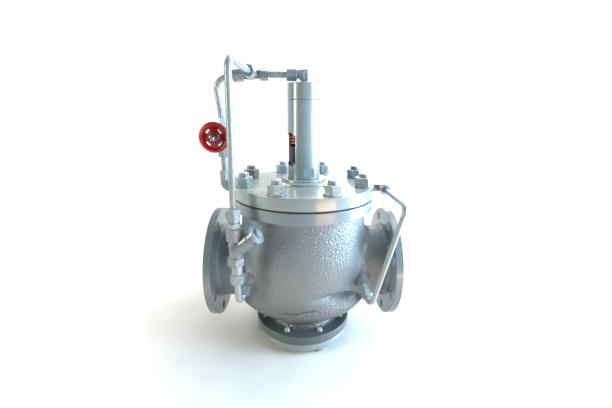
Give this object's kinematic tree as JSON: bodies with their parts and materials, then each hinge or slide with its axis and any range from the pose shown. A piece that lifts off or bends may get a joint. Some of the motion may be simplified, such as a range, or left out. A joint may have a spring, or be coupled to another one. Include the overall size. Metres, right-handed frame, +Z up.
{
  "type": "flanged pressure reducing valve",
  "caption": "Flanged pressure reducing valve with a bolted bonnet, spring column, small-bore pilot pipework, strainer and a needle valve with a red handwheel.",
  "frame": {"origin": "on the floor under the middle of the valve, at the height of the bottom cover's bolt heads", "axes": "+X along the flow from the inlet flange to the outlet flange, +Z up the spring column, -Y towards the front with the strainer"},
  "size_m": [0.3904, 0.2968, 0.581],
  "materials": {
    "cast_paint": "semi-gloss paint over a rough casting",
    "pipe_paint": "semi-gloss paint over drawn tube and fittings",
    "bolt_paint": "semi-gloss paint over nuts and studs",
    "red_paint": "glossy paint",
    "rubber": "matte",
    "spring_steel": "red lacquer over wire",
    "dark_steel": "darkened steel",
    "brass": "machined",
    "stainless": "turned"
  },
  "bodies": {
    "valve": {"body_casting": "cast_paint", "bonnet": "cast_paint", "diaphragm": "rubber", "bottom_cover": "cast_paint", "bottom_gasket": "rubber", "spring_column": "cast_paint", "column_cap": "cast_paint", "main_spring": "spring_steel", "seat_ring": "brass", "bonnet_stud_1": "bolt_paint", "bonnet_stud_2": "bolt_paint", "bonnet_stud_3": "bolt_paint", "bonnet_stud_4": "bolt_paint", "bonnet_stud_5": "bolt_paint", "bonnet_stud_6": "bolt_paint", "bonnet_stud_7": "bolt_paint", "bonnet_stud_8": "bolt_paint", "cover_bolt_1": "bolt_paint", "cover_bolt_2": "bolt_paint", "cover_bolt_3": "bolt_paint", "cover_bolt_4": "bolt_paint", "cover_bolt_5": "bolt_paint", "cover_bolt_6": "bolt_paint", "cover_bolt_7": "bolt_paint", "cover_bolt_8": "bolt_paint", "top_elbow": "pipe_paint", "top_elbow_nut": "pipe_paint", "cross_tube": "pipe_paint", "tee_fitting": "pipe_paint", "tee_right_nut": "pipe_paint", "tee_front_nut": "pipe_paint", "tee_left_nut": "pipe_paint", "pilot_riser": "pipe_paint", "needle_feed_tube": "pipe_paint", "riser_nut": "pipe_paint", "upper_nipple": "pipe_paint", "strainer_body": "pipe_paint", "strainer_cap": "pipe_paint", "lower_nipple": "pipe_paint", "supply_nut": "pipe_paint", "supply_tube": "pipe_paint", "supply_port_nut": "pipe_paint", "sensing_elbow": "pipe_paint", "sensing_tube": "pipe_paint", "sensing_port_nut": "pipe_paint", "needle_outlet_elbow": "pipe_paint", "needle_outlet_tube": "pipe_paint", "needle_valve_body": "pipe_paint", "needle_gland": "pipe_paint"},
    "stem": {"main_stem": "stainless", "main_plug": "stainless", "plug_seal": "rubber", "lower_spring_seat": "dark_steel", "upper_diaphragm_plate": "dark_steel", "lower_diaphragm_plate": "dark_steel"},
    "needle": {"needle_tip": "stainless"},
    "handwheel": {"needle_spindle": "stainless", "handwheel": "red_paint", "handwheel_nut": "stainless"}
  },
  "joints": [
    {"name": "main_stem_lift", "type": "slide", "parent": "valve", "child": "stem", "axis": [0, 0, 1], "range_m": [0, 0.02], "stiffness_N_per_m": 15000, "springref_m": -0.02, "deforming": ["main_spring", "diaphragm"]},
    {"name": "needle_travel", "type": "slide", "parent": "valve", "child": "needle", "axis": [0, -1, 0], "range_m": [-0.003, 0.003]},
    {"name": "handwheel_turn", "type": "hinge", "parent": "needle", "child": "handwheel", "pos_m": [-0.167, -0.06, 0.449], "axis": [0, -1, 0], "range_deg": [-725, 725]}
  ],
  "couplings": [
    {"joint": "handwheel_turn", "follows": "needle_travel", "rad_per_m": 4188.8}
  ]
}
